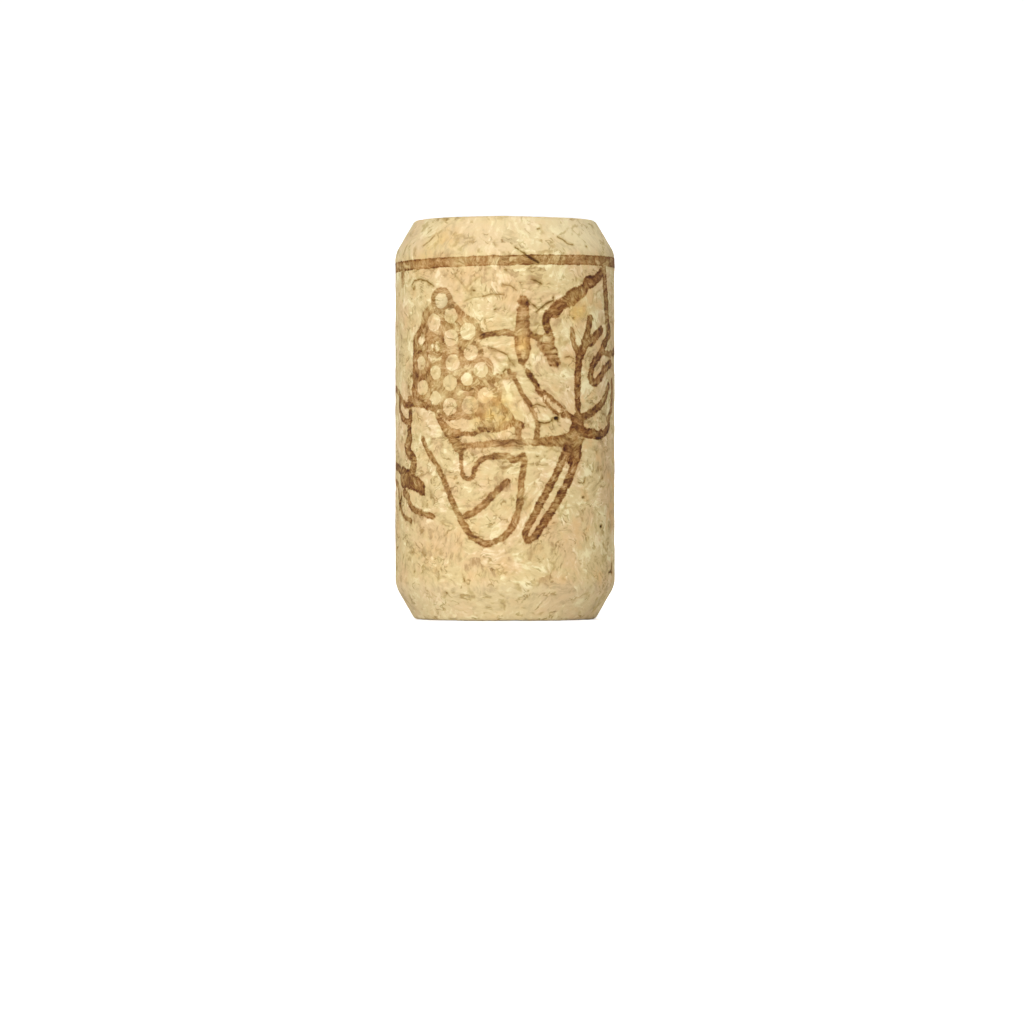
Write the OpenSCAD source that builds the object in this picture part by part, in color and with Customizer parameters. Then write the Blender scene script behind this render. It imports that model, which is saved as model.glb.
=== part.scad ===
// Wine cork: a straight stopper pressed from cork granules and glue, ground to
// size, with a long chamfer at both ends. It stands on its lower end face at
// z = 0, with its axis along +Z. Sizes are in millimetres.

/* [Body] */
// Diameter of the straight wall, uncompressed
cork_d = 21; // [15:0.5:30]
// Length from end face to end face
cork_len = 38; // [25:1:60]

/* [Ends] */
// Run of the chamfer across the end, in from the wall
chamfer_in = 1.85; // [0.5:0.05:3]
// Run of the chamfer along the cork, away from the end face
chamfer_down = 3.15; // [0.5:0.05:5]
// Radius that blends the chamfer into the straight wall
shoulder_r = 2.5; // [0.2:0.1:4]
// Radius on the rim between the chamfer and the end face
rim_r = 0.5; // [0.1:0.05:1]

/* [Pores] */
// Number of open pores round the straight wall
wall_pores = 15; // [0:1:30]
// Number of open pores in each end face
end_pores = 5; // [0:1:12]
// Mouth diameter of the smallest pores
pore_min_d = 0.25; // [0.15:0.05:0.5]
// Mouth diameter of the largest pores
pore_max_d = 0.5; // [0.2:0.05:0.8]
// Depth of a pore, as a share of its mouth diameter
pore_depth_share = 0.4; // [0.2:0.05:0.45]

/* [Hidden] */
$fn = 96;

cork_r = cork_d / 2;

// The chamfer leans off the axis by chamfer_lean, so the outline turns by that
// much at the shoulder and by the rest of a right angle at the rim.
chamfer_lean = atan(chamfer_in / chamfer_down);
chamfer_run = norm([chamfer_in, chamfer_down]);
shoulder_turn = chamfer_lean;
rim_turn = 90 - chamfer_lean;

// Each blend takes this much of the chamfer's length, and at most half of it.
shoulder_cut = min(shoulder_r * tan(shoulder_turn / 2), chamfer_run / 2);
rim_cut = min(rim_r * tan(rim_turn / 2), chamfer_run / 2);
shoulder_blend_r = shoulder_cut / tan(shoulder_turn / 2);
rim_blend_r = rim_cut / tan(rim_turn / 2);

// Flat part of an end face, and the ends of the straight wall
face_r = cork_r - chamfer_in - rim_cut;
wall_z0 = chamfer_down + shoulder_cut;
wall_z1 = cork_len - wall_z0;

// Pores step round by the golden angle and take these sizes in turn.
golden_angle = 137.5;
pore_start_angle = 55;
pore_facets = 24;
pore_sizes = 4;
function pore_d(i) =
    pore_min_d + (pore_max_d - pore_min_d) * (i % pore_sizes) / (pore_sizes - 1);

// Half of the cork's section, from one end face to mid-length: straight cuts
// between the points where the blends start, and a round at each blend.
module half_section() {
    along_chamfer = [sin(chamfer_lean), cos(chamfer_lean)];
    rim = [cork_r - chamfer_in, 0];
    shoulder = [cork_r, chamfer_down];
    polygon([
        [0, 0],
        [face_r, 0],
        rim + rim_cut * along_chamfer,
        shoulder - shoulder_cut * along_chamfer,
        [cork_r, wall_z0],
        [cork_r, cork_len / 2],
        [0, cork_len / 2]
    ]);
    translate([face_r, rim_blend_r])
        circle(r = rim_blend_r);
    translate([cork_r - shoulder_blend_r, wall_z0])
        circle(r = shoulder_blend_r);
}

module blank() {
    rotate_extrude() {
        half_section();
        translate([0, cork_len])
            mirror([0, 1])
                half_section();
    }
}

// A shallow bowl in a surface that faces +Z and passes through the origin
module pore_bowl(mouth_d) {
    depth = pore_depth_share * mouth_d;
    bowl_r = (pow(mouth_d / 2, 2) + pow(depth, 2)) / (2 * depth);
    translate([0, 0, bowl_r - depth])
        sphere(r = bowl_r, $fn = pore_facets);
}

// Pores climb the straight wall in even steps.
module wall_pore_bowls() {
    step = (wall_z1 - wall_z0) / max(wall_pores, 1);
    for (i = [0 : 1 : wall_pores - 1])
        rotate(pore_start_angle + i * golden_angle)
            translate([cork_r, 0, wall_z0 + (i + 0.5) * step])
                rotate([0, 90, 0])
                    pore_bowl(pore_d(i));
}

// Pores spread over a face that looks along +Z in a sunflower spiral.
module face_pore_bowls(start_angle) {
    reach = face_r - pore_max_d;
    for (i = [0 : 1 : end_pores - 1])
        rotate(start_angle + i * golden_angle)
            translate([reach * sqrt((i + 0.5) / end_pores), 0, 0])
                pore_bowl(pore_d(i + 1));
}

module cork() {
    color([0.91, 0.81, 0.62])
        difference() {
            blank();
            wall_pore_bowls();
            translate([0, 0, cork_len])
                face_pore_bowls(0);
            rotate([180, 0, 0])
                face_pore_bowls(pore_start_angle);
        }
}

cork();
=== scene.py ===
import math
import random

import bmesh
import bpy
import numpy as np
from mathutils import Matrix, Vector
from mathutils.geometry import delaunay_2d_cdt


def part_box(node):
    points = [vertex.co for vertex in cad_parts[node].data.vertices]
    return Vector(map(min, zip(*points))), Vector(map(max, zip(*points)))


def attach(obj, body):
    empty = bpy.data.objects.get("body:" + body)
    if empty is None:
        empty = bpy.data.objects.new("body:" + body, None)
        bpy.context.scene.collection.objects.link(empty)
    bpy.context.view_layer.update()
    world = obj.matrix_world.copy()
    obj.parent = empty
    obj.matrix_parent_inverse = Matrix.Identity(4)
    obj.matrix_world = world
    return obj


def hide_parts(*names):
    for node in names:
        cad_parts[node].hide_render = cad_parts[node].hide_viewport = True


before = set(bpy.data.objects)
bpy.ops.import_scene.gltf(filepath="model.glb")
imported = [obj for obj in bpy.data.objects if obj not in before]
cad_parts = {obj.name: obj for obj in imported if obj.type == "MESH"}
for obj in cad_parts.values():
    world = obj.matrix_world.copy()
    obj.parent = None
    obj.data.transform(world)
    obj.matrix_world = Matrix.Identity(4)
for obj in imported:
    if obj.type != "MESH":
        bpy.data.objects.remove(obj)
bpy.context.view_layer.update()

# ---------------------------------------------------------------------------
# The cork. Granules of cork bark and a little glue are pressed and cured as a rod,
# which is cut to length, chamfered at both ends, ground and printed in brown ink.
# One closed skin follows the CAD solid: a lathed side and two flat end faces.
# ---------------------------------------------------------------------------
# Every size below is in millimetres, and goes to metres when it reaches the mesh.
MM = 0.001
low, high = (Vector(corner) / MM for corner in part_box("cork"))
CORK_R = (high.x - low.x) / 2
CORK_LEN = high.z - low.z

# Each end: a chamfer, blended into the wall by the shoulder and into the face by the rim.
CHAMFER_IN = 1.85
CHAMFER_DOWN = 3.15
SHOULDER_R = 2.5
RIM_R = 0.5
CHAMFER_LEAN = math.atan2(CHAMFER_IN, CHAMFER_DOWN)
RIM_TURN = math.pi / 2 - CHAMFER_LEAN
RIM_CUT = RIM_R * math.tan(RIM_TURN / 2)
SHOULDER_CUT = SHOULDER_R * math.tan(CHAMFER_LEAN / 2)
FACE_R = CORK_R - CHAMFER_IN - RIM_CUT
WALL_Z = CHAMFER_DOWN + SHOULDER_CUT

# How fine the skin is: columns round the side, and the spacing of rows and face points.
COLUMNS = 320
ROW_STEP = 0.205
FACE_STEP = 0.215
GOLDEN_ANGLE = math.radians(137.508)


def arc(centre, radius, start, turn, steps=24):
    """Points on an arc in the section, from angle start, in radians."""
    angles = [start + turn * i / steps for i in range(steps + 1)]
    return [(centre[0] + radius * math.cos(a), centre[1] + radius * math.sin(a))
            for a in angles]


def half_section():
    """Outline of half the cork's section, from the end face's rim to mid-length."""
    rim = arc((FACE_R, RIM_R), RIM_R, -math.pi / 2, RIM_TURN)
    shoulder = arc((CORK_R - SHOULDER_R, WALL_Z), SHOULDER_R, -CHAMFER_LEAN, CHAMFER_LEAN)
    return rim + shoulder + [(CORK_R, CORK_LEN / 2)]


def evenly_spaced(points, step):
    """The same open outline with its points a near-equal step apart."""
    points = np.array(points)
    gaps = np.hypot(*np.diff(points, axis=0).T)
    along = np.concatenate([[0], np.cumsum(gaps)])
    wanted = np.linspace(0, along[-1], round(along[-1] / step) + 1)
    return np.stack([np.interp(wanted, along, points[:, k]) for k in (0, 1)], axis=1)


lower = half_section()
upper = [(r, CORK_LEN - z) for r, z in reversed(lower[:-1])]
side = evenly_spaced(lower + upper, ROW_STEP)
rows = len(side)

# Side grid: column 0 looks along -Y, the printed front, and columns run to the right.
turn = np.arange(COLUMNS) * 2 * math.pi / COLUMNS
ring_x, ring_y = np.sin(turn), -np.cos(turn)
side_points = np.empty((rows, COLUMNS, 3))
side_points[..., 0] = side[:, 0, None] * ring_x
side_points[..., 1] = side[:, 0, None] * ring_y
side_points[..., 2] = side[:, 1, None]

# End faces: a sunflower of points inside the rim ring, joined by triangles. In an even
# packing of triangles each point has 0.87 of a square of the step.
point_area = 0.87 * FACE_STEP ** 2
inner_r = FACE_R - 0.6 * FACE_STEP
face_count = int(math.pi * inner_r ** 2 / point_area)
face_i = np.arange(face_count) + 0.5
face_polar_r = inner_r * np.sqrt(face_i / face_count)
face_xy = np.stack([face_polar_r * np.cos(face_i * GOLDEN_ANGLE),
                    face_polar_r * np.sin(face_i * GOLDEN_ANGLE)], axis=1)


def face_triangles():
    """Triangles over the ring's points, numbered first, and the sunflower's."""
    ring = np.stack([FACE_R * ring_x, FACE_R * ring_y], axis=1)
    points = [Vector(p) for p in np.concatenate([ring, face_xy])]
    loop = [(j, (j + 1) % COLUMNS) for j in range(COLUMNS)]
    _, _, triangles, sources, _, _ = delaunay_2d_cdt(points, loop, [], 1, 1e-6)
    return [[sources[v][0] for v in tri] for tri in triangles]


triangles = face_triangles()
side_count = rows * COLUMNS
points = [side_points.reshape(-1, 3)]
faces = []
for i in range(rows - 1):
    for j in range(COLUMNS):
        k = (j + 1) % COLUMNS
        faces.append((i * COLUMNS + j, i * COLUMNS + k,
                      (i + 1) * COLUMNS + k, (i + 1) * COLUMNS + j))
for end, (z, ring_start) in enumerate([(0.0, 0), (CORK_LEN, side_count - COLUMNS)]):
    first = side_count + end * face_count
    points.append(np.column_stack([face_xy, np.full(face_count, z)]))
    for tri in triangles:
        ids = [ring_start + v if v < COLUMNS else first + v - COLUMNS for v in tri]
        faces.append(tuple(ids) if end else tuple(reversed(ids)))
points = np.concatenate(points)
mesh = bpy.data.meshes.new("cork")
mesh.from_pydata(points * MM, [], faces)

# Pores, cracks and chips that the grinding laid bare. Each is a furrow along a line
# in the surface: its points, its half width and its depth, all in mm, and how dark
# it is, from 0 to 1.
furrows = []


def on_side(u, z):
    """The point of the side at u mm round from the front, to the right, and z mm up."""
    r = np.interp(z, side[:, 1], side[:, 0])
    return (r * math.sin(u / CORK_R), -r * math.cos(u / CORK_R), z)


def side_furrow(line, half_width, depth, dark):
    """A furrow in the side, along (u, z) points."""
    furrows.append(([on_side(u, z) for u, z in line], half_width, depth, dark))


def end_furrow(line, z, half_width, depth, dark):
    """A furrow in the end face at height z, along (x, y) points."""
    furrows.append(([(x, y, z) for x, y in line], half_width, depth, dark))


# The round pores that the CAD solid has too, in the same places and the same four
# sizes in turn. Those in the wall are drawn a little wider than high.
WALL_PORES = 15
END_PORES = 5
PORE_STEP = 137.5
WALL_PORE_START = 145
UPPER_PORE_START = 0
LOWER_PORE_START = 55
SMALLEST_PORE_R = 0.125
LARGEST_PORE_R = 0.25
PORE_SIZES = 4
PORE_DEPTH = 0.8
END_PORE_DARK = 0.7


def pore_share(i):
    """How large pore i is, from 0 for the smallest size to 1 for the largest."""
    return (i % PORE_SIZES) / (PORE_SIZES - 1)


for i in range(WALL_PORES):
    u = CORK_R * math.radians(WALL_PORE_START + PORE_STEP * i)
    z = WALL_Z + (i + 0.5) * (CORK_LEN - 2 * WALL_Z) / WALL_PORES
    pore_r = SMALLEST_PORE_R + (LARGEST_PORE_R - SMALLEST_PORE_R) * pore_share(i)
    dark = 0.35 + 0.65 * pore_share(i)
    half = 0.4 * pore_r
    line = [(u - half, z - 0.02), (u + half, z + 0.02)]
    side_furrow(line, pore_r - half, PORE_DEPTH * pore_r, dark)
for i in range(END_PORES):
    out = (FACE_R - 2 * LARGEST_PORE_R) * math.sqrt((i + 0.5) / END_PORES)
    pore_r = SMALLEST_PORE_R + (LARGEST_PORE_R - SMALLEST_PORE_R) * pore_share(i + 1)
    for z, start, flip in ((CORK_LEN, UPPER_PORE_START, 1), (0.0, LOWER_PORE_START, -1)):
        a = math.radians(start + PORE_STEP * i)
        spot = (out * math.cos(a), flip * out * math.sin(a))
        end_furrow([spot, spot], z, pore_r, PORE_DEPTH * pore_r, END_PORE_DARK)

# Cracks on the printed front, each as its line, half width, depth and darkness, then
# stained pits.
CRACKS = [
    ([(3.3, 18.6), (3.8, 18.5), (4.3, 18.6), (4.6, 18.8)], 0.08, 0.05, 0.56),
    ([(-10.4, 31.6), (-10.0, 32.0), (-9.2, 32.1), (-8.2, 31.9),
      (-7.3, 31.4)], 0.08, 0.06, 0.36),
    ([(2.2, 29.9), (2.9, 29.4), (3.2, 29.1)], 0.07, 0.05, 0.4),
    ([(3.0, 28.9), (3.5, 29.3), (4.0, 29.7), (4.7, 30.0)], 0.08, 0.05, 0.48),
    ([(-2.1, 30.3), (-1.3, 30.55), (-0.3, 30.5)], 0.08, 0.05, 0.24),
    ([(-0.2, 31.4), (0.6, 31.3), (1.1, 30.9)], 0.06, 0.05, 0.24),
    ([(-4.8, 32.3), (-4.1, 31.6), (-3.5, 30.8)], 0.13, 0.03, 0.09),
    ([(-3.6, 31.2), (-2.9, 31.9), (-2.3, 32.2)], 0.12, 0.03, 0.08),
    ([(-3.9, 29.9), (-3.1, 30.2), (-2.3, 30.3)], 0.07, 0.04, 0.13),
    ([(7.6, 13.0), (8.2, 12.9), (8.45, 13.4)], 0.08, 0.06, 0.32),
    ([(1.0, 34.9), (1.9, 34.3), (2.3, 34.0)], 0.08, 0.07, 0.4),
    ([(2.3, 34.0), (3.2, 33.5)], 0.12, 0.07, 0.56),
    ([(2.6, 31.9), (3.1, 31.75), (3.5, 31.5)], 0.08, 0.05, 0.36),
    ([(-1.5, 25.6), (-0.7, 25.3), (0.2, 24.9), (0.5, 24.3), (0.9, 23.9)], 0.07, 0.05, 0.36),
    ([(2.5, 20.1), (3.1, 20.3), (3.9, 20.0)], 0.07, 0.05, 0.36),
    ([(6.0, 24.7), (6.5, 24.8), (7.0, 24.6)], 0.08, 0.05, 0.32),
    ([(4.7, 30.3), (4.75, 29.9)], 0.08, 0.06, 0.48),
    ([(-8.9, 35.3), (-8.3, 35.7), (-7.9, 36.2)], 0.08, 0.05, 0.24),
    ([(5.6, 36.0), (6.1, 35.8), (6.5, 35.4), (7.1, 35.3)], 0.09, 0.06, 0.32),
]
for line, half_width, depth, dark in CRACKS:
    side_furrow(line, half_width, depth, dark)
FRONT_PITS = [(7.0, 28.4), (0.05, 32.8), (3.1, 15.4), (-2.9, 30.9), (8.9, 35.2)]
PIT_HALF = 0.06
for u, z in FRONT_PITS:
    side_furrow([(u - PIT_HALF, z), (u + PIT_HALF, z)], 0.09, 0.07, 0.32)

# Smaller pits, longer pores and chipped edges, scattered by one fixed seed. The pits
# and the chips lie all round, and the long pores keep clear of the printed front.
# GIRTH is the way once round the wall, to the nearest millimetre.
scatter = random.Random(38)
GIRTH = 66
FRONT_EDGE = 12
SMALL_PITS = 64
LONG_PORES = 16
END_PITS = 14
END_PITS_R = 7.4
RIM_CHIPS = 9
for i in range(SMALL_PITS):
    u, z = scatter.uniform(0, GIRTH), scatter.uniform(1, CORK_LEN - 1)
    length, lean = scatter.uniform(0.05, 0.3), scatter.uniform(0, math.pi)
    step_u, step_z = length * math.cos(lean), length * math.sin(lean)
    side_furrow([(u, z), (u + step_u, z + step_z)], scatter.uniform(0.05, 0.1),
                scatter.uniform(0.04, 0.09), scatter.uniform(0.1, 0.5))
for i in range(LONG_PORES):
    u, z = scatter.uniform(FRONT_EDGE, GIRTH - FRONT_EDGE), scatter.uniform(3, CORK_LEN - 4)
    length, lean = scatter.uniform(0.8, 1.8), scatter.uniform(0, math.pi)
    bend = scatter.uniform(-0.3, 0.3)
    line = [(u, z), (u + length * math.cos(lean) / 2, z + length * math.sin(lean) / 2),
            (u + length * math.cos(lean + bend), z + length * math.sin(lean + bend))]
    side_furrow(line, scatter.uniform(0.07, 0.13), scatter.uniform(0.06, 0.13),
                scatter.uniform(0.2, 0.7))
for end_z in (0.0, CORK_LEN):
    for i in range(END_PITS):
        out, a = END_PITS_R * math.sqrt(scatter.random()), scatter.uniform(0, 2 * math.pi)
        x, y = out * math.cos(a), out * math.sin(a)
        length, lean = scatter.uniform(0.05, 1.0) ** 2, scatter.uniform(0, math.pi)
        line = [(x, y), (x + length * math.cos(lean), y + length * math.sin(lean))]
        end_furrow(line, end_z, scatter.uniform(0.07, 0.12), scatter.uniform(0.06, 0.1),
                   scatter.uniform(0.2, 0.7))
    for i in range(RIM_CHIPS):
        u, rim_z = scatter.uniform(0, GIRTH), abs(end_z - scatter.uniform(0.1, 0.3))
        side_furrow([(u, rim_z), (u + scatter.uniform(0.1, 0.7), rim_z)],
                    scatter.uniform(0.12, 0.25), scatter.uniform(0.04, 0.09), 0.05)

# A distance that stands for "nowhere near", and how far round a furrow is worked out.
BEYOND = 9.0
FURROW_REACH = 0.8


def furrow_fields(points):
    """Distance in mm from the nearest furrow's edge, below zero inside, with the depth
    of the furrow here and how dark that furrow is."""
    gaps = np.full(len(points), BEYOND)
    depths, darks = np.zeros((2, len(points)))
    for line, half_width, depth, dark in furrows:
        line = np.array(line)
        near = np.all((points > line.min(axis=0) - FURROW_REACH)
                      & (points < line.max(axis=0) + FURROW_REACH), axis=1)
        here = points[near]
        off = np.full(len(here), BEYOND)
        for a, b in zip(line, line[1:]):
            run = b - a
            t = np.clip((here - a) @ run / max(run @ run, 1e-9), 0, 1)
            off = np.minimum(off, np.linalg.norm(here - a - t[:, None] * run, axis=1))
        gap = off - half_width
        darks[near] = np.where(gap < gaps[near], dark, darks[near])
        gaps[near] = np.minimum(gaps[near], gap)
        bowl = depth * np.clip(1 - (off / half_width) ** 2, 0, 1)
        depths[near] = np.maximum(depths[near], bowl)
    return gaps, depths, darks


# The skin is finer where there is a furrow.
FINE_CUTS = 3
FINE_WITHIN = 0.1
grid = bmesh.new()
grid.from_mesh(mesh)
centres = np.array([f.calc_center_median() for f in grid.faces]) / MM
close_by = furrow_fields(centres)[0] < FINE_WITHIN
fine_faces = [f for f, near in zip(grid.faces, close_by) if near]
fine_edges = list({e for f in fine_faces for e in f.edges})
bmesh.ops.subdivide_edges(grid, edges=fine_edges, cuts=FINE_CUTS, use_grid_fill=True)
bmesh.ops.triangulate(grid, faces=[f for f in grid.faces if len(f.verts) > 4])
grid.to_mesh(mesh)
grid.free()
mesh.polygons.foreach_set("use_smooth", [True] * len(mesh.polygons))
cork = bpy.data.objects.new("printed_cork", mesh)
bpy.context.collection.objects.link(cork)
print("cork triangles", sum(len(p.vertices) - 2 for p in mesh.polygons))
flat = np.empty(3 * len(mesh.vertices))
mesh.vertices.foreach_get("co", flat)
points = flat.reshape(-1, 3) / MM

# The print: a stripe round the wall and a grapevine below it, which a roller leaves
# twice round the cork. Its strokes are points in mm on the unrolled wall: across from
# the motif's centre line, and up from the cork's foot. Each has its width at the start
# and at the end, and how heavily it is inked, where 1 is a full film of ink.
#
# The large leaf to the right: its outline, with knots on the thick upper edge.
LEAF = [
    ([(11.9, 33.2), (10.9, 32.5), (9.9, 31.95), (9.0, 31.7), (8.3, 31.0)], 0.85, 1.1, 1.2),
    ([(8.3, 31.1), (7.4, 30.5), (6.7, 30.0), (5.7, 29.7), (4.9, 29.0)], 1.1, 1.15, 1.1),
    ([(9.4, 31.9), (9.0, 31.75)], 1.2, 1.3, 1.2),
    ([(7.2, 30.75), (6.8, 30.3)], 1.1, 1.5, 1.1),
    ([(5.3, 29.3), (4.9, 28.9)], 1.15, 1.2, 1.1),
    ([(4.9, 29.0), (4.2, 28.7), (4.0, 28.1), (4.2, 27.4), (4.6, 26.5)], 0.7, 0.65, 0.95),
    ([(11.9, 33.2), (12.1, 31.8), (12.4, 30.2), (12.6, 28.6), (13.1, 27.1)], 0.9, 1.1, 0.95),
    ([(13.1, 27.1), (12.2, 26.3), (11.3, 25.3), (10.3, 24.6), (9.6, 23.7), (9.4, 22.9),
      (10.0, 22.4), (10.9, 22.8), (12.2, 23.8), (13.6, 24.3)], 0.75, 0.85, 1.15),
    ([(11.3, 25.4), (12.8, 25.2), (14.2, 25.3), (15.4, 25.6)], 0.5, 0.6, 0.8),
    ([(14.2, 22.6), (14.1, 21.0), (13.8, 19.8), (12.9, 19.0)], 0.8, 0.8, 0.7),
    ([(13.3, 18.5), (12.2, 17.8), (10.8, 17.5), (9.4, 17.6), (8.0, 17.8)], 0.65, 0.95, 1.25),
]
# That leaf's veins, and the thin double line and the loop that run to its foot.
VEINS = [
    ([(7.7, 18.8), (7.6, 20.6), (7.6, 22.4), (7.75, 24.0), (7.9, 25.2)], 0.6, 0.9, 1.17),
    ([(7.7, 25.1), (7.2, 25.9), (7.0, 26.7), (6.9, 27.4)], 0.7, 0.45, 0.65),
    ([(8.0, 24.9), (8.7, 26.1), (9.0, 27.1), (9.4, 28.4)], 0.9, 0.85, 1.15),
    ([(8.7, 26.2), (9.6, 26.35), (10.4, 26.9), (11.3, 27.4)], 1.1, 0.8, 1.05),
    ([(8.2, 19.1), (9.6, 19.6), (11.0, 20.3), (12.2, 21.1), (12.9, 22.1)], 0.7, 0.8, 0.95),
    ([(3.4, 21.4), (3.1, 22.0), (2.6, 22.7), (2.2, 23.3)], 0.45, 0.5, 1.1),
    ([(2.2, 23.3), (1.8, 23.9), (1.6, 24.4)], 0.35, 0.3, 0.5),
    ([(3.5, 21.65), (4.2, 21.15), (5.0, 20.6), (5.8, 19.97)], 0.3, 0.3, 0.8),
    ([(5.8, 19.9), (6.4, 19.3), (7.2, 18.9)], 0.35, 0.7, 0.85),
    ([(3.5, 21.15), (4.0, 20.48), (4.6, 19.88), (5.35, 19.4), (6.2, 19.1)], 0.3, 0.3, 0.85),
    ([(3.1, 17.1), (3.2, 18.2), (2.9, 19.3), (2.3, 20.3), (1.6, 21.4), (1.0, 22.5),
      (0.4, 23.4)], 0.5, 0.4, 0.6),
]
# The leaf's stalk, which parts in two, and the level stem to the bunch.
STEM = [
    ([(7.7, 19.0), (7.5, 18.0), (7.2, 16.7), (6.9, 15.7)], 1.4, 2.1, 1.15),
    ([(6.1, 15.6), (5.5, 14.5), (4.6, 12.9), (3.7, 11.4), (2.7, 9.7),
      (1.9, 8.2)], 0.8, 0.6, 0.9),
    ([(7.6, 15.6), (6.9, 14.0), (6.0, 12.4), (5.1, 11.0), (4.0, 9.5),
      (3.0, 8.0)], 0.9, 0.7, 1.0),
    ([(1.9, 8.2), (2.2, 7.6), (3.0, 8.0)], 0.55, 0.6, 0.75),
    ([(8.0, 17.4), (6.2, 17.0), (4.4, 16.8), (2.4, 16.8)], 1.3, 0.65, 0.75),
    ([(2.4, 16.8), (0.4, 16.65), (-2.0, 16.5), (-4.6, 16.3)], 0.65, 0.6, 0.55),
]
# Tendrils, with the short cross strokes of the two that are wound like a spring.
TENDRILS = [
    ([(-2.3, 26.5), (-1.5, 26.8), (-0.2, 27.0), (1.0, 26.8), (2.1, 27.0), (3.0, 26.55),
      (4.5, 26.5)], 0.45, 0.55, 0.7),
    ([(1.75, 30.1), (1.8, 29.2), (1.7, 28.2), (1.7, 26.9)], 0.8, 1.5, 0.55),
    ([(1.4, 29.8), (1.8, 29.75), (2.2, 29.6)], 0.35, 0.35, 0.95),
    ([(1.3, 29.1), (1.75, 29.15), (2.2, 29.05)], 0.25, 0.25, 0.9),
    ([(1.2, 28.5), (1.75, 28.55), (2.3, 28.5)], 0.2, 0.25, 0.8),
    ([(1.2, 27.9), (1.75, 27.95), (2.3, 27.9)], 0.25, 0.25, 0.85),
    ([(1.2, 27.3), (1.75, 27.35), (2.3, 27.3)], 0.2, 0.25, 0.75),
    ([(1.7, 26.1), (1.75, 25.0)], 0.8, 0.5, 0.3),
    ([(1.05, 26.5), (1.2, 25.4), (1.7, 24.1), (2.2, 25.0), (2.2, 26.5)], 0.4, 0.45, 0.75),
    ([(4.0, 25.9), (4.5, 25.1), (4.9, 24.3)], 1.6, 1.3, 0.34),
    ([(3.5, 26.0), (4.1, 25.95), (4.8, 26.1)], 0.25, 0.3, 1.0),
    ([(3.7, 25.5), (4.3, 25.4), (5.0, 25.55)], 0.25, 0.25, 1.0),
    ([(4.0, 25.0), (4.6, 24.9), (5.2, 25.0)], 0.25, 0.25, 1.0),
    ([(4.3, 24.5), (4.8, 24.45), (5.3, 24.6)], 0.25, 0.25, 1.0),
    ([(4.5, 24.0), (5.0, 23.95), (5.4, 24.2)], 0.3, 0.3, 0.9),
    ([(-6.9, 19.3), (-6.3, 18.6), (-5.5, 18.0), (-4.4, 17.6), (-3.1, 17.5)], 0.25, 0.45, 0.65),
    ([(-7.4, 20.0), (-7.0, 19.2), (-6.3, 18.3), (-5.6, 17.45), (-5.05, 16.9),
      (-4.6, 16.3)], 0.25, 1.0, 0.6),
    ([(-3.1, 17.5), (-2.2, 17.9), (-0.9, 17.9), (0.2, 18.2)], 0.4, 0.5, 0.85),
    ([(1.3, 18.3), (1.3, 17.6), (1.4, 17.0)], 0.6, 0.4, 0.55),
    ([(-8.9, 17.1), (-8.3, 16.1), (-7.4, 15.1), (-6.7, 14.1), (-6.1, 13.0), (-5.5, 11.8),
      (-4.9, 10.6), (-4.1, 9.2), (-3.2, 7.9)], 0.5, 0.6, 0.65),
]
# The small leaf under the bunch.
LOWER_LEAF = [
    ([(-4.4, 16.4), (-4.3, 15.3), (-4.25, 14.2), (-3.95, 13.4), (-3.45, 13.25)], 0.4, 0.3, 0.6),
    ([(-3.45, 13.25), (-3.05, 13.5), (-2.95, 14.2), (-2.6, 14.9), (-1.7, 15.35),
      (-0.6, 15.45)], 0.35, 0.6, 0.65),
    ([(-0.6, 15.45), (0.2, 15.5), (1.1, 15.0), (1.75, 15.5)], 0.6, 0.6, 0.7),
    ([(1.75, 15.5), (1.85, 14.6), (1.6, 13.2), (1.5, 11.8), (1.25, 10.4), (0.9, 9.2),
      (0.2, 8.2), (-0.9, 7.5), (-2.0, 7.3), (-3.2, 7.9)], 0.6, 0.6, 0.65),
    ([(0.25, 13.1), (-0.6, 12.3), (-1.5, 11.4), (-2.5, 10.5), (-3.7, 9.9)], 0.6, 0.7, 0.65),
]
# The broken leaf to the left of the bunch.
LEFT_LEAF = [
    ([(-15.6, 22.0), (-14.0, 21.6), (-12.9, 20.9), (-11.8, 20.3), (-10.6, 20.4), (-9.2, 20.3),
      (-7.4, 19.9)], 0.6, 0.5, 0.75),
    ([(-11.2, 20.9), (-10.2, 20.9), (-9.2, 20.5)], 0.4, 0.5, 0.75),
    ([(-12.5, 33.3), (-12.6, 32.5), (-12.7, 31.8)], 0.9, 0.8, 0.45),
    ([(-13.4, 20.8), (-13.3, 19.9), (-12.6, 19.1), (-11.7, 18.8), (-10.9, 18.9),
      (-10.9, 19.6)], 0.5, 0.6, 0.9),
    ([(-10.9, 19.6), (-10.9, 18.8), (-11.2, 18.0), (-11.0, 17.0), (-11.3, 16.3), (-11.1, 15.7),
      (-10.3, 15.3), (-10.3, 14.6), (-10.6, 14.0)], 0.6, 1.0, 1.1),
    ([(-11.1, 17.2), (-11.7, 16.4), (-11.2, 15.7)], 0.9, 0.8, 0.8),
    ([(-15.3, 14.6), (-14.0, 14.4), (-12.8, 13.9), (-11.2, 13.4), (-9.9, 12.95),
      (-8.9, 12.2)], 0.7, 0.8, 1.1),
    ([(-12.4, 13.5), (-11.2, 13.3), (-10.0, 12.9), (-9.1, 12.5)], 2.0, 1.2, 1.2),
    ([(-12.2, 12.1), (-11.5, 11.7), (-11.0, 10.9), (-10.0, 10.4), (-8.8, 10.1),
      (-7.4, 9.8)], 0.8, 0.45, 0.7),
    ([(-15.2, 13.1), (-14.2, 12.6), (-13.8, 11.6), (-13.2, 10.6), (-12.2, 9.8),
      (-10.8, 9.4)], 0.6, 0.4, 0.65),
]
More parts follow.
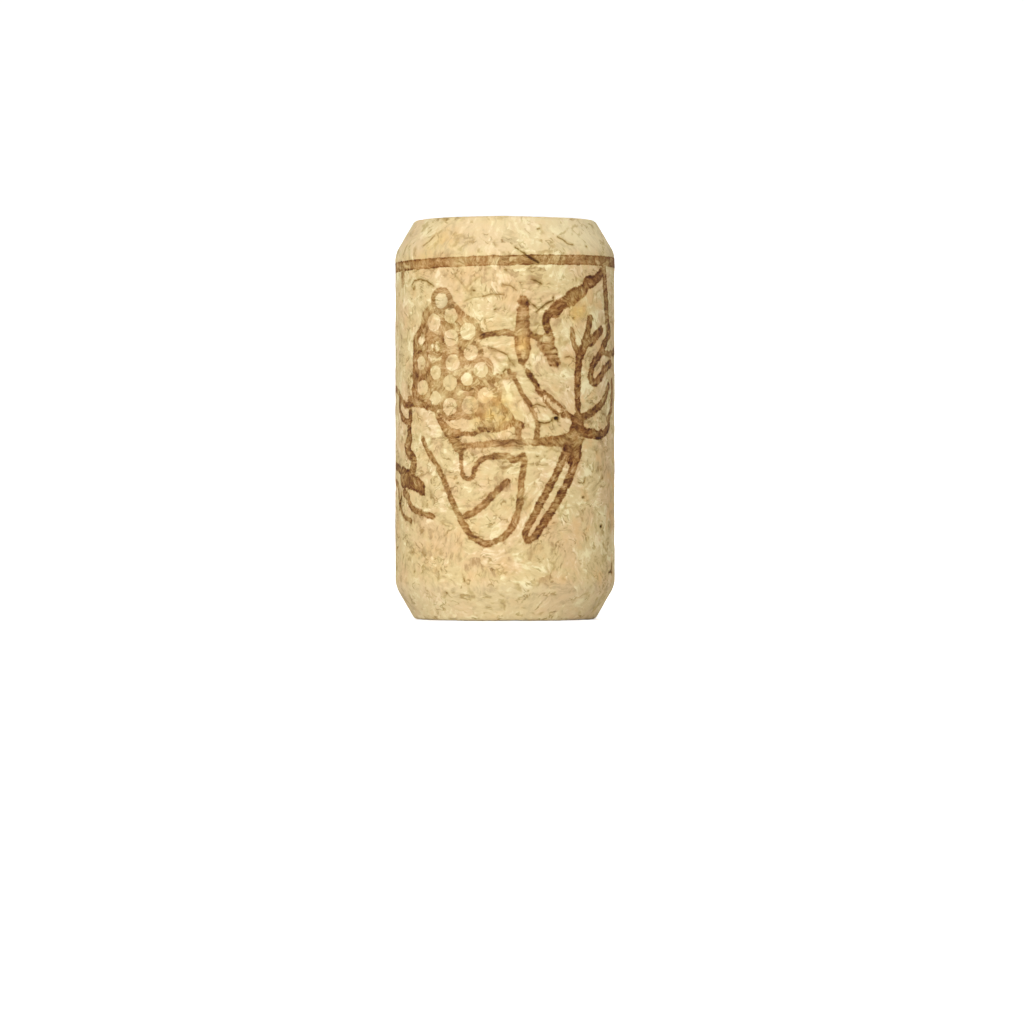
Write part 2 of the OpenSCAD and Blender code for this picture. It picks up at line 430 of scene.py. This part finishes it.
# The bunch: a lightly inked field with the grapes left bare, then firmer lines round
# and through it. The field is drawn as discs that swell round the grapes; each grape
# is (across, up, radius).
BUNCH = [
    (-6.5, 30.0, 0.76), (-5.4, 28.6, 0.74), (-7.4, 28.0, 0.82), (-3.6, 27.1, 0.78), (-5.4, 26.5, 0.80),
    (-9.0, 26.4, 0.56), (-7.2, 25.7, 0.58), (-3.3, 25.1, 0.74), (-9.1, 24.2, 0.66), (-5.2, 24.2, 0.80),
    (-2.3, 23.5, 0.74), (-7.2, 23.3, 0.66), (-3.7, 22.6, 0.62), (-5.5, 22.3, 0.76), (-8.9, 21.9, 0.76),
    (-7.2, 20.9, 0.66), (-1.9, 21.1, 0.76), (-5.5, 20.1, 0.80), (-3.4, 20.2, 0.84), (-1.1, 19.3, 0.78),
]
BUNCH_LINES = [
    ([(-5.9, 30.9), (-6.6, 30.95), (-7.5, 30.4), (-7.75, 29.6), (-8.6, 28.8),
      (-8.85, 27.8)], 0.25, 0.55, 0.5),
    ([(-8.85, 27.8), (-9.3, 27.1), (-10.0, 26.6), (-10.1, 25.4), (-10.05, 24.2), (-10.15, 22.6),
      (-10.1, 21.2), (-9.2, 20.5)], 0.6, 0.8, 0.8),
    ([(-5.9, 30.9), (-5.3, 30.0), (-4.8, 29.2), (-4.1, 28.7), (-3.2, 28.2), (-2.6, 27.4),
      (-2.2, 26.8)], 0.25, 0.35, 0.5),
    ([(-8.6, 26.0), (-7.9, 26.5), (-7.2, 26.4), (-6.5, 26.4), (-6.2, 26.0)], 0.4, 0.35, 0.65),
    ([(-7.2, 26.3), (-7.35, 25.6), (-7.0, 25.1), (-6.2, 25.05), (-5.2, 25.1), (-4.5, 24.9),
      (-4.2, 24.4)], 0.3, 0.35, 0.6),
    ([(-4.3, 25.6), (-4.25, 24.9), (-4.1, 24.4)], 0.3, 0.3, 0.7),
    ([(-10.0, 25.2), (-9.1, 25.3), (-8.2, 25.1)], 0.35, 0.35, 0.75),
    ([(-8.45, 26.9), (-8.4, 26.2), (-8.3, 25.5)], 0.3, 0.3, 0.7),
    ([(-10.1, 22.9), (-9.2, 22.85), (-8.3, 23.0), (-8.1, 23.7)], 0.5, 0.45, 0.85),
    ([(-4.55, 22.9), (-4.45, 22.3), (-4.0, 21.8), (-3.1, 21.7), (-2.1, 22.0), (-1.2, 22.4),
      (-0.7, 22.9)], 0.35, 0.5, 0.75),
    ([(-6.6, 20.0), (-6.2, 19.3), (-5.4, 18.95), (-4.5, 19.1)], 0.3, 0.35, 0.6),
    ([(-1.4, 20.2), (-0.8, 20.5), (-0.5, 21.0), (-0.9, 21.8)], 0.3, 0.35, 0.6),
    ([(-0.2, 19.9), (0.4, 19.5), (0.7, 18.8)], 0.35, 0.45, 0.75),
    ([(0.1, 18.3), (0.8, 18.55), (1.5, 18.3)], 0.6, 0.8, 1.0),
    ([(-0.6, 22.6), (0.1, 22.9), (0.8, 23.0)], 0.6, 0.7, 0.4),
    ([(-0.4, 22.1), (-0.1, 21.4)], 0.7, 0.5, 0.35),
]
# How far the field reaches beyond a grape, and how heavily it is inked.
FIELD_MARGIN = 0.52
FIELD_INK = 0.44
# The stripe: the height of its middle, how far it rises and falls as it goes round,
# and its width.
STRIPE_Z = 33.7
STRIPE_TILT = 0.25
STRIPE_W = 0.95
# How heavily the stripe is inked, as (across, weight) points.
STRIPE_INK = [(-10.5, 0.95), (-8.5, 0.85), (-5.0, 0.5), (-2.0, 0.6),
              (0.5, 0.6), (2.5, 0.95), (6.0, 0.75), (9.0, 0.85)]
# Soft spots, each as its centre, its reach across and up, and how strong it is in the
# middle. In the worn ones the print has been rubbed and the bark has yellowed: the ink
# loses up to WORN_SHARE of its weight. In the pale ones the bark is paler than round
# about; the large one, on the right of the upper chamfer, is partly the bark's own pale
# patches and partly painted light.
WORN_SPOTS = [
    ((-0.9, 19.5), (1.8, 1.8), 0.95),
    ((7.7, 29.0), (1.2, 1.2), 0.95),
    ((1.7, 25.8), (0.8, 0.8), 0.8),
    ((-6.5, 35.7), (1.5, 1.5), 0.42),
    ((-8.3, 34.6), (1.2, 1.2), 0.35),
]
WORN_SHARE = 0.68
# The large pale spot, on the right of the upper chamfer, is partly painted light.
PALE_AND_LIT_SPOTS = [((-6.6, 30.0), (0.95, 0.95), 0.5), ((10.0, 36.5), (4.5, 1.6), 0.7)]
# The stripe and the grapes have cleaner edges than the strokes: their distances count
# this much more against the raggedness of the ink.
CLEANER = 1.8
# The motif comes again every half turn. It is printed this much narrower than it is
# drawn, and stops short of the ends.
MOTIF_REPEAT = math.pi * CORK_R
MOTIF_SPREAD = 0.98
BARE_END = 3
STROKE_REACH = 2.0


def smooth_path(points, steps=5):
    """A smooth line through the points (Catmull-Rom)."""
    p = np.array([points[0]] + list(points) + [points[-1]])
    t = np.arange(steps)[:, None] / steps
    path = [0.5 * (2 * b + (c - a) * t + (2 * a - 5 * b + 4 * c - d) * t ** 2
                   + (3 * b - a - 3 * c + d) * t ** 3)
            for a, b, c, d in zip(p, p[1:], p[2:], p[3:])]
    return np.concatenate(path + [p[-1:]])


def stroke_distance(u, z, points, width_start, width_end):
    """Signed distance in mm from a stroke's edge, below zero inside it."""
    path = smooth_path(points)
    along = np.concatenate([[0], np.cumsum(np.hypot(*np.diff(path, axis=0).T))])
    half = (width_start + (width_end - width_start) * along / along[-1]) / 2
    low, high = path.min(axis=0) - STROKE_REACH, path.max(axis=0) + STROKE_REACH
    near = (u > low[0]) & (u < high[0]) & (z > low[1]) & (z < high[1])
    un, zn = u[near], z[near]
    nearest = np.full(un.shape, BEYOND)
    for (a, b), (ha, hb) in zip(zip(path, path[1:]), zip(half, half[1:])):
        du, dz = b - a
        length2 = max(du * du + dz * dz, 1e-9)
        t = np.clip(((un - a[0]) * du + (zn - a[1]) * dz) / length2, 0, 1)
        gap = np.hypot(un - a[0] - t * du, zn - a[1] - t * dz) - (ha + (hb - ha) * t)
        nearest = np.minimum(nearest, gap)
    gaps = np.full(u.shape, BEYOND)
    gaps[near] = nearest
    return gaps


def bunch_distance(u, z):
    """Signed distance from the inked field between and round the grapes."""
    grape = np.full(u.shape, BEYOND)
    for gu, gz, r in BUNCH:
        grape = np.minimum(grape, np.hypot(u - gu, z - gz) - r)
    return CLEANER * np.maximum(grape - FIELD_MARGIN, -grape)


def motif_across(u):
    """How far across the nearer motif a point lies, as the motif is drawn."""
    return ((u + MOTIF_REPEAT / 2) % MOTIF_REPEAT - MOTIF_REPEAT / 2) / MOTIF_SPREAD


def soft_spots(across, z, spots):
    """How strong the strongest of the soft spots is here, from 0 to 1."""
    strength = np.zeros(across.shape)
    for (spot_u, spot_z), (reach_u, reach_z), middle in spots:
        away2 = ((across - spot_u) / reach_u) ** 2 + ((z - spot_z) / reach_z) ** 2
        strength = np.maximum(strength, middle * np.exp(-away2))
    return strength


def ink_field(u, z):
    """Distance from the nearest inked edge, and how heavily that stroke is inked."""
    across = motif_across(u)
    distance = CLEANER * (np.abs(z - STRIPE_Z - STRIPE_TILT * np.sin(u / CORK_R)) - STRIPE_W / 2)
    weight = np.interp(across, *zip(*STRIPE_INK), period=MOTIF_REPEAT)
    d = bunch_distance(across, z)
    nearer = d < distance
    distance = np.where(nearer, d, distance)
    weight = np.where(nearer, FIELD_INK, weight)
    strokes = BUNCH_LINES + LEAF + VEINS + STEM + TENDRILS + LOWER_LEAF + LEFT_LEAF
    for line, width_start, width_end, ink in strokes:
        d = stroke_distance(across, z, line, width_start, width_end)
        weight = np.where(d < np.maximum(distance, 0), ink, weight)
        distance = np.minimum(distance, d)
    return distance, weight


def store(name, values):
    """Keeps one number a point on the cork, for its relief and its finish."""
    attribute = mesh.attributes.new(name, 'FLOAT', 'POINT')
    attribute.data.foreach_set("value", np.asarray(values, dtype=np.float32))


# How near the end plane a point of an end face lies.
ON_END = 1e-4
around = np.arctan2(points[:, 0], -points[:, 1]) * CORK_R
up = points[:, 2]
on_wall = (up > BARE_END) & (up < CORK_LEN - BARE_END)
on_side = (up > ON_END) & (up < CORK_LEN - ON_END)
worn = soft_spots(motif_across(around), up, WORN_SPOTS)
pale_and_lit = soft_spots(motif_across(around), up, PALE_AND_LIT_SPOTS)
ink_gap, ink_weight = ink_field(around, up)
store("ink_gap", np.where(on_wall, ink_gap, BEYOND))
store("ink_weight", ink_weight * (1 - WORN_SHARE * worn))
store("worn", worn)
# Paler spots of bark, with painted light on the right of the upper chamfer.
store("pale_and_lit", np.where(on_side, pale_and_lit, 0))
furrow_gap, furrow_depth, furrow_dark = furrow_fields(points)
store("furrow_gap", furrow_gap)
store("furrow_depth", furrow_depth)
store("furrow_dark", furrow_dark)

# The unrolled map: the side as one rectangle, opened at the back, and the two end
# faces as discs above it, at the same scale.
MAP_W = 0.98
MAP_H = 0.7
MAP_EDGE = 0.01
LOWER_DISC_U = 0.25
UPPER_DISC_U = 0.75
side_along = np.concatenate([[0], np.cumsum(np.hypot(*np.diff(side, axis=0).T))])
disc_scale = MAP_W / (2 * math.pi * CORK_R)
disc_r = FACE_R * disc_scale
corner_point = np.empty(len(mesh.loops), dtype=int)
mesh.loops.foreach_get("vertex_index", corner_point)
face_sizes = np.array([len(p.vertices) for p in mesh.polygons])
corner_face = np.repeat(np.arange(len(face_sizes)), face_sizes)
centres = np.array([p.center for p in mesh.polygons])[corner_face] / MM
corners = points[corner_point]
angle = np.arctan2(corners[:, 0], -corners[:, 1])
face_angle = np.arctan2(centres[:, 0], -centres[:, 1])
angle -= 2 * math.pi * np.round((angle - face_angle) / (2 * math.pi))
map_u = MAP_EDGE + MAP_W * (0.5 + angle / (2 * math.pi))
map_v = MAP_EDGE + MAP_H * np.interp(corners[:, 2], side[:, 1], side_along) / side_along[-1]
for end_z, disc_u in ((0.0, LOWER_DISC_U), (CORK_LEN, UPPER_DISC_U)):
    on_end = np.abs(centres[:, 2] - end_z) < ON_END
    map_u = np.where(on_end, disc_u + disc_scale * corners[:, 0], map_u)
    map_v = np.where(on_end, 2 * MAP_EDGE + MAP_H + disc_r + disc_scale * corners[:, 1], map_v)
layer = mesh.uv_layers.new(name="OFBake")
layer.data.foreach_set("uv", np.column_stack([map_u, map_v]).ravel())


def add_node(tree, kind, inputs=(), **settings):
    """A new node, with its settings, and its inputs linked or set to values."""
    node = tree.nodes.new(kind)
    for name, value in settings.items():
        setattr(node, name, value)
    for name, value in dict(inputs).items():
        if isinstance(value, bpy.types.NodeSocket):
            tree.links.new(value, node.inputs[name])
        else:
            node.inputs[name].default_value = value
    return node


def maths(tree, operation, a, b=0.0, c=0.0):
    """One sum on numbers."""
    return add_node(tree, "ShaderNodeMath", {0: a, 1: b, 2: c}, operation=operation).outputs[0]


def vector_maths(tree, operation, a, b):
    """One sum on vectors; SCALE takes a number as b."""
    key = "Scale" if operation == 'SCALE' else 1
    return add_node(tree, "ShaderNodeVectorMath", {0: a, key: b}, operation=operation).outputs[0]


def ramp(tree, value, low, high, to_low=0.0, to_high=1.0):
    """The value carried smoothly from low..high to to_low..to_high, and held beyond."""
    return add_node(tree, "ShaderNodeMapRange", {
        "Value": value, "From Min": low, "From Max": high,
        "To Min": to_low, "To Max": to_high}, interpolation_type='SMOOTHSTEP').outputs["Result"]


def noise(tree, place, scale, detail=2.0, roughness=0.5):
    """Noise of about 1 / scale mm, from 0 to 1."""
    return add_node(tree, "ShaderNodeTexNoise", {
        "Vector": place, "Scale": scale, "Detail": detail, "Roughness": roughness}).outputs


def bent(tree, place, scale, bend, detail=2.0):
    """The place moved by up to about half of bend mm, smoothly."""
    off = noise(tree, place, scale, detail)["Color"]
    off = vector_maths(tree, 'SUBTRACT', off, (0.5, 0.5, 0.5))
    return vector_maths(tree, 'ADD', place, vector_maths(tree, 'SCALE', off, bend))


GRANULE_SIZE = 2.6
GRANULE_BEND = 2.4
GRANULE_STRAY = 0.92


def granules(tree, place):
    """Packed granules: a random colour for each, and the distance to its seam in mm."""
    place = bent(tree, place, 0.6, GRANULE_BEND, 3.0)
    packing = {"Vector": place, "Scale": 1 / GRANULE_SIZE, "Randomness": GRANULE_STRAY}
    cell = add_node(tree, "ShaderNodeTexVoronoi", packing, feature='F1')
    edge = add_node(tree, "ShaderNodeTexVoronoi", packing, feature='DISTANCE_TO_EDGE')
    return cell.outputs["Color"], maths(tree, 'MULTIPLY', edge.outputs["Distance"], GRANULE_SIZE)


# Relief, all of it inwards: neighbouring granules stand a few hundredths of a
# millimetre apart in height, with a shallow seam between where it has opened. The
# grinding leaves the surface wavy, and the furrows go below all that.
SEAM_DEPTH = 0.05
SEAM_HALF_W = 0.45
GRANULE_STEP = 0.03
WAVE_SCALE, WAVE_DEPTH = 0.22, 0.09
RIPPLE_SCALE, RIPPLE_DEPTH = 0.9, 0.05
RELIEF_LIFT = 0.04
LEAST_DEPTH = 0.015
relief = bpy.data.node_groups.new("ground_surface", 'GeometryNodeTree')
relief.interface.new_socket("Geometry", in_out='INPUT', socket_type='NodeSocketGeometry')
relief.interface.new_socket("Geometry", in_out='OUTPUT', socket_type='NodeSocketGeometry')
group_in = relief.nodes.new("NodeGroupInput")
group_out = relief.nodes.new("NodeGroupOutput")
place = vector_maths(relief, 'SCALE', relief.nodes.new("GeometryNodeInputPosition").outputs[0], 1 / MM)
cell, seam = granules(relief, place)
cell_xyz = add_node(relief, "ShaderNodeSeparateXYZ", {0: cell})
open_seam = ramp(relief, noise(relief, place, 0.5)["Fac"], 0.45, 0.65)
groove = maths(relief, 'MULTIPLY', ramp(relief, seam, 0.0, SEAM_HALF_W, 1.0, 0.0), open_seam)
step_down = maths(relief, 'MULTIPLY', cell_xyz.outputs["Y"], ramp(relief, seam, 0.0, 0.4))
wave = noise(relief, place, WAVE_SCALE, 1.0)["Fac"]
ripple = noise(relief, place, RIPPLE_SCALE, 2.0)["Fac"]
depth = maths(relief, 'MULTIPLY', groove, SEAM_DEPTH)
depth = maths(relief, 'MULTIPLY_ADD', step_down, GRANULE_STEP, depth)
depth = maths(relief, 'MULTIPLY_ADD', wave, WAVE_DEPTH, depth)
depth = maths(relief, 'MULTIPLY_ADD', ripple, RIPPLE_DEPTH, depth)
depth = maths(relief, 'SUBTRACT', depth, RELIEF_LIFT)
depth = maths(relief, 'MAXIMUM', depth, LEAST_DEPTH)
furrow = add_node(relief, "GeometryNodeInputNamedAttribute", {"Name": "furrow_depth"}, data_type='FLOAT')
depth = maths(relief, 'ADD', depth, furrow.outputs["Attribute"])
normal = relief.nodes.new("GeometryNodeInputNormal").outputs[0]
offset = vector_maths(relief, 'SCALE', normal, maths(relief, 'MULTIPLY', depth, -MM))
moved = add_node(relief, "GeometryNodeSetPosition",
                 {"Geometry": group_in.outputs[0], "Offset": offset})
relief.links.new(moved.outputs[0], group_out.inputs[0])
modifier = cork.modifiers.new("ground_surface", 'NODES')
modifier.node_group = relief


def srgb(r, g, b):
    """An 8-bit display colour as the linear one that the renderer works in."""
    return tuple((c / 255 / 12.92) if c <= 10 else ((c / 255 + 0.055) / 1.055) ** 2.4
                 for c in (r, g, b)) + (1.0,)


def mix(tree, factor, a, b, blend='MIX'):
    """Two colours mixed."""
    node = tree.nodes.new("ShaderNodeMix")
    node.data_type, node.blend_type, node.clamp_factor = 'RGBA', blend, True
    for socket, value in ((node.inputs[0], factor), (node.inputs[6], a), (node.inputs[7], b)):
        if isinstance(value, bpy.types.NodeSocket):
            tree.links.new(value, socket)
        else:
            socket.default_value = value
    return node.outputs[2]


# Finish: bare ground bark, then the ink over it.
BARK_DARK = srgb(176, 147, 99)
BARK_MID = srgb(214, 190, 141)
BARK_PALE = srgb(235, 221, 179)
BARK_WARM = srgb(219, 182, 127)
FRESH_BARK = srgb(222, 207, 170)
PINKISH = (1.0, 0.94, 0.95, 1)
GREENISH = (0.985, 1.0, 0.965, 1)

finish = bpy.data.materials.new("printed_cork")
finish.use_nodes = True
tree = finish.node_tree
surface = tree.nodes["Principled BSDF"]
place = vector_maths(tree, 'SCALE', tree.nodes.new("ShaderNodeTexCoord").outputs["Object"], 1 / MM)
place_xyz = add_node(tree, "ShaderNodeSeparateXYZ", {0: place})
cell, seam = granules(tree, place)
cell_xyz = add_node(tree, "ShaderNodeSeparateXYZ", {0: cell})

# Growth layers of the bark, which lie their own way in each granule, and finer flecks
# along them. Each pattern is squeezed across the layers and drawn out along them.
LAYER_SHAPE = (0.55, 0.8, 2.6)
FLECK_SHAPE = (1.6, 2.2, 6.5)
layer_axis = vector_maths(tree, 'SUBTRACT', cell, (0.5, 0.5, 0.45))
layer_turn = maths(tree, 'MULTIPLY', cell_xyz.outputs["Z"], 19.0)
layered = add_node(tree, "ShaderNodeVectorRotate", {
    "Vector": bent(tree, place, 0.9, 0.9), "Axis": layer_axis, "Angle": layer_turn},
    rotation_type='AXIS_ANGLE').outputs[0]
layer_place = vector_maths(tree, 'MULTIPLY', layered, LAYER_SHAPE)
layers = noise(tree, layer_place, 1.0, 4.0, 0.62)["Fac"]
fleck_place = vector_maths(tree, 'MULTIPLY', layered, FLECK_SHAPE)
flecks = noise(tree, fleck_place, 1.0, 2.0, 0.6)["Fac"]
mottle = noise(tree, place, 0.75, 5.0, 0.62)["Fac"]

# The bark's tone is half layers; the rest is mottling, flecks and the granule's own tone.
tone = maths(tree, 'MULTIPLY', layers, 0.5)
tone = maths(tree, 'MULTIPLY_ADD', mottle, 0.4, tone)
tone = maths(tree, 'MULTIPLY_ADD', flecks, 0.1, tone)
granule_tone = maths(tree, 'MULTIPLY_ADD', cell_xyz.outputs["X"], 0.1, -0.05)
tone = maths(tree, 'ADD', tone, granule_tone)
colour = mix(tree, ramp(tree, tone, 0.34, 0.5), BARK_DARK, BARK_MID)
colour = mix(tree, ramp(tree, tone, 0.5, 0.64), colour, BARK_PALE)

# Slow changes of hue, and warmer patches, of which there are more to the right.
hue_place = vector_maths(tree, 'ADD', place, (5, 41, 17))
hue = noise(tree, hue_place, 0.33, 3.0, 0.6)["Fac"]
cast = mix(tree, ramp(tree, hue, 0.4, 0.55), PINKISH, GREENISH)
colour = mix(tree, 1.0, colour, cast, 'MULTIPLY')
warm_place = vector_maths(tree, 'ADD', place, (31, 7, 13))
warm = ramp(tree, noise(tree, warm_place, 0.5, 4.0, 0.6)["Fac"], 0.5, 0.68)
warm_share = ramp(tree, place_xyz.outputs["X"], 2.0, 10.0, 0.4, 0.8)
colour = mix(tree, maths(tree, 'MULTIPLY', warm, warm_share), colour, BARK_WARM)

# The chamfers are ground last, and are paler. So are a few spots; on the right of the upper
# chamfer that paleness is partly painted light.
FRESH_SHARE = 0.3
HALF_WALL = CORK_LEN / 2 - WALL_Z
from_middle = maths(tree, 'SUBTRACT', place_xyz.outputs["Z"], CORK_LEN / 2)
from_middle = maths(tree, 'ABSOLUTE', from_middle)
fresh = ramp(tree, from_middle, HALF_WALL - 0.2, HALF_WALL + 0.8, 0.0, FRESH_SHARE)
colour = mix(tree, fresh, colour, FRESH_BARK)
pale_and_lit = add_node(tree, "ShaderNodeAttribute", attribute_name="pale_and_lit").outputs["Fac"]
colour = mix(tree, pale_and_lit, colour, BARK_PALE)

# Marks: hairlines along the layers, and seams that have opened.
HAIR_SHAPE = (0.4, 1.0, 1.6)
MARKS_DARK = 0.48
hair_place = vector_maths(tree, 'MULTIPLY', layered, HAIR_SHAPE)
hair = noise(tree, hair_place, 1.0, 2.0)["Fac"]
hair = maths(tree, 'ABSOLUTE', maths(tree, 'SUBTRACT', hair, 0.5))
hair_here = ramp(tree, noise(tree, place, 0.8, 2.0)["Fac"], 0.5, 0.64)
hair_mark = maths(tree, 'MULTIPLY', ramp(tree, hair, 0.008, 0.045, 0.85, 0.0), hair_here)
open_seam = ramp(tree, noise(tree, place, 0.7)["Fac"], 0.52, 0.68)
seam_mark = maths(tree, 'MULTIPLY', ramp(tree, seam, 0.03, 0.24, 0.6, 0.0), open_seam)
marks = maths(tree, 'MAXIMUM', seam_mark, hair_mark)

# Dirt in each furrow, with a ragged edge, and the stain round it.
STAIN = (0.36, 0.27, 0.13, 1)
furrow_gap = add_node(tree, "ShaderNodeAttribute", attribute_name="furrow_gap").outputs["Fac"]
furrow_dark = add_node(tree, "ShaderNodeAttribute", attribute_name="furrow_dark").outputs["Fac"]
stain_gap = maths(tree, 'MULTIPLY_ADD', noise(tree, place, 3.0, 3.0)["Fac"], 0.3, furrow_gap)
stain = ramp(tree, stain_gap, 0.05, 0.4, 0.9, 0.0)
broken = maths(tree, 'MULTIPLY_ADD', noise(tree, place, 3.5, 2.0)["Fac"], 0.24, -0.12)
pit = ramp(tree, maths(tree, 'ADD', furrow_gap, broken), -0.08, 0.03, 1.9, 0.0)
darkening = maths(tree, 'MULTIPLY', maths(tree, 'ADD', stain, pit), furrow_dark)
darkening = maths(tree, 'MULTIPLY_ADD', marks, MARKS_DARK, darkening)
stained = add_node(tree, "ShaderNodeGamma", {"Color": STAIN, "Gamma": darkening}).outputs[0]
colour = mix(tree, 1.0, colour, stained, 'MULTIPLY')

# Yellowing where the wall is worn.
YELLOWED = (0.93, 0.74, 0.42, 1)
worn = add_node(tree, "ShaderNodeAttribute", attribute_name="worn").outputs["Fac"]
worn = maths(tree, 'MULTIPLY', worn, ramp(tree, mottle, 0.35, 0.6, 0.2, 1.0))
yellowed = add_node(tree, "ShaderNodeGamma", {"Color": YELLOWED, "Gamma": worn}).outputs[0]
colour = mix(tree, 1.0, colour, yellowed, 'MULTIPLY')

# Printing ink: ragged, darker at the edge of a heavy stroke, blotchy, and taken up less
# by open bark. A full film darkens the bark by INK, and a thinner one by a power of it.
INK = (0.28, 0.146, 0.055, 1)
ink_gap = add_node(tree, "ShaderNodeAttribute", attribute_name="ink_gap").outputs["Fac"]
ink_weight = add_node(tree, "ShaderNodeAttribute", attribute_name="ink_weight").outputs["Fac"]
ragged = maths(tree, 'MULTIPLY_ADD', noise(tree, place, 1.5, 4.0, 0.65)["Fac"], 0.6, -0.31)
gap = maths(tree, 'ADD', ink_gap, ragged)
cover = ramp(tree, gap, -0.09, 0.09, 1.0, 0.0)
edge = maths(tree, 'SUBTRACT', ramp(tree, gap, -0.4, -0.1, 0.8, 1.28), 1.0)
heavy = ramp(tree, ink_weight, 0.44, 0.6)
edge = maths(tree, 'MULTIPLY_ADD', edge, heavy, 1.0)
blotch = ramp(tree, noise(tree, place, 1.1, 5.0, 0.68)["Fac"], 0.34, 0.66, 0.5, 1.2)
layers_take = ramp(tree, layers, 0.4, 0.62, 1.1, 0.65)
flecks_take = ramp(tree, flecks, 0.36, 0.64, 1.2, 0.72)
strength = ink_weight
for share in (edge, blotch, layers_take, flecks_take, cover):
    strength = maths(tree, 'MULTIPLY', strength, share)
ink = add_node(tree, "ShaderNodeGamma", {"Color": INK, "Gamma": strength}).outputs[0]
colour = mix(tree, 1.0, colour, ink, 'MULTIPLY')
tree.links.new(colour, surface.inputs["Base Color"])

# Fine relief, in mm, and a dry surface that is a little smoother across dense layers.
GRAIN_HEIGHT = 0.02
MARK_HEIGHT = -0.04
LAYER_HEIGHT = 0.06
grain = noise(tree, place, 5.0, 3.0, 0.6)["Fac"]
height = maths(tree, 'MULTIPLY', marks, MARK_HEIGHT)
height = maths(tree, 'MULTIPLY_ADD', grain, GRAIN_HEIGHT, height)
height = maths(tree, 'MULTIPLY_ADD', layers, LAYER_HEIGHT, height)
bump = add_node(tree, "ShaderNodeBump", {"Strength": 1.0, "Distance": MM, "Height": height})
tree.links.new(bump.outputs[0], surface.inputs["Normal"])
tree.links.new(ramp(tree, layers, 0.3, 0.7, 0.7, 0.85), surface.inputs["Roughness"])
surface.inputs["Specular IOR Level"].default_value = 0.3
mesh.materials.append(finish)

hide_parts("cork")
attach(cork, "root")

# ---------------------------------------------------------------------------
# Studio: a round sweep of white paper, so that every side has the same pale ground,
# under soft light from all round and one large soft lamp in front, to the left.
# ---------------------------------------------------------------------------
# The sweep's section, in metres: flat floor, round bend and upright wall.
FLOOR_R = 0.6
SWEEP_R = 1.2
SWEEP_BEND = 0.5
SWEEP_H = 0.9
BEND_POINTS = 13
SPOKES = 96
bend_r = SWEEP_R - SWEEP_BEND
profile = [(0.0, 0.0), (FLOOR_R, 0.0)]
profile += [(bend_r + SWEEP_BEND * math.sin(a), SWEEP_BEND - SWEEP_BEND * math.cos(a))
            for a in np.linspace(0, math.pi / 2, BEND_POINTS)]
profile.append((SWEEP_R, SWEEP_H))
verts, quads = [], []
for r, z in profile:
    for j in range(SPOKES):
        a = 2 * math.pi * j / SPOKES
        verts.append((r * math.cos(a), r * math.sin(a), z))
for i in range(len(profile) - 1):
    for j in range(SPOKES):
        k = (j + 1) % SPOKES
        quads.append((i * SPOKES + j, i * SPOKES + k, (i + 1) * SPOKES + k, (i + 1) * SPOKES + j))
sweep_mesh = bpy.data.meshes.new("sweep")
sweep_mesh.from_pydata(verts, [], quads)
sweep_mesh.polygons.foreach_set("use_smooth", [True] * len(sweep_mesh.polygons))
sweep = bpy.data.objects.new("sweep", sweep_mesh)
bpy.context.collection.objects.link(sweep)
# White paper that also glows a little, so that it stays white behind the cork.
PAPER_GLOW = 0.55
paper = bpy.data.materials.new("paper")
paper.use_nodes = True
tree = paper.node_tree
surface = tree.nodes["Principled BSDF"]
surface.inputs["Base Color"].default_value = (0.9, 0.9, 0.9, 1)
surface.inputs["Roughness"].default_value = 0.9
surface.inputs["Emission Color"].default_value = (1, 1, 1, 1)
seen = tree.nodes.new("ShaderNodeLightPath").outputs["Is Camera Ray"]
tree.links.new(maths(tree, 'MULTIPLY', seen, PAPER_GLOW), surface.inputs["Emission Strength"])
sweep_mesh.materials.append(paper)

ROOM_LIGHT = 0.18
scene = bpy.context.scene
world = bpy.data.worlds.new("studio")
scene.world = world
world.use_nodes = True
room = world.node_tree.nodes["Background"]
room.inputs["Color"].default_value = (1, 1, 1, 1)
room.inputs["Strength"].default_value = ROOM_LIGHT

# Lamps are aimed at this point, near the middle of the cork.
aim = Vector((0, 0, 0.02))


def soft_lamp(name, size, watts, azimuth, elevation, reach, colour):
    """A round soft lamp aimed at the cork from reach metres away. Azimuth 0 is in front,
    and is positive to the right."""
    lamp = bpy.data.lights.new(name, 'AREA')
    lamp.shape = 'DISK'
    lamp.size = size
    lamp.energy = watts
    lamp.color = colour
    lamp_object = bpy.data.objects.new(name, lamp)
    bpy.context.collection.objects.link(lamp_object)
    a, e = math.radians(azimuth), math.radians(elevation)
    lamp_object.location = aim + reach * Vector((
        math.sin(a) * math.cos(e), -math.cos(a) * math.cos(e), math.sin(e)))
    lamp_object.rotation_euler = (aim - lamp_object.location).to_track_quat('-Z', 'Y').to_euler()


WHITE = (1, 1, 1)
WARM_WHITE = (1, 0.96, 0.87)
soft_lamp("key", 0.3, 5.7, -20, 22, 0.9, WHITE)
soft_lamp("top", 0.4, 1.6, 60, 72, 0.8, WARM_WHITE)
soft_lamp("back_fill", 0.5, 2.2, 175, 25, 0.95, WHITE)

# A long lens, straight in front and level, a little below the cork's mid-height.
CAMERA_PLACE = (0.00067, -0.439, 0.01023)
CAMERA_LENS = 161.7
camera = bpy.data.cameras.new("camera")
camera.sensor_width = 36
camera.lens = CAMERA_LENS
camera.clip_start = 0.01
camera_object = bpy.data.objects.new("camera", camera)
bpy.context.collection.objects.link(camera_object)
camera_object.location = CAMERA_PLACE
camera_object.rotation_euler = (math.radians(90), 0, 0)
scene.camera = camera_object
scene.view_settings.view_transform = 'Standard'
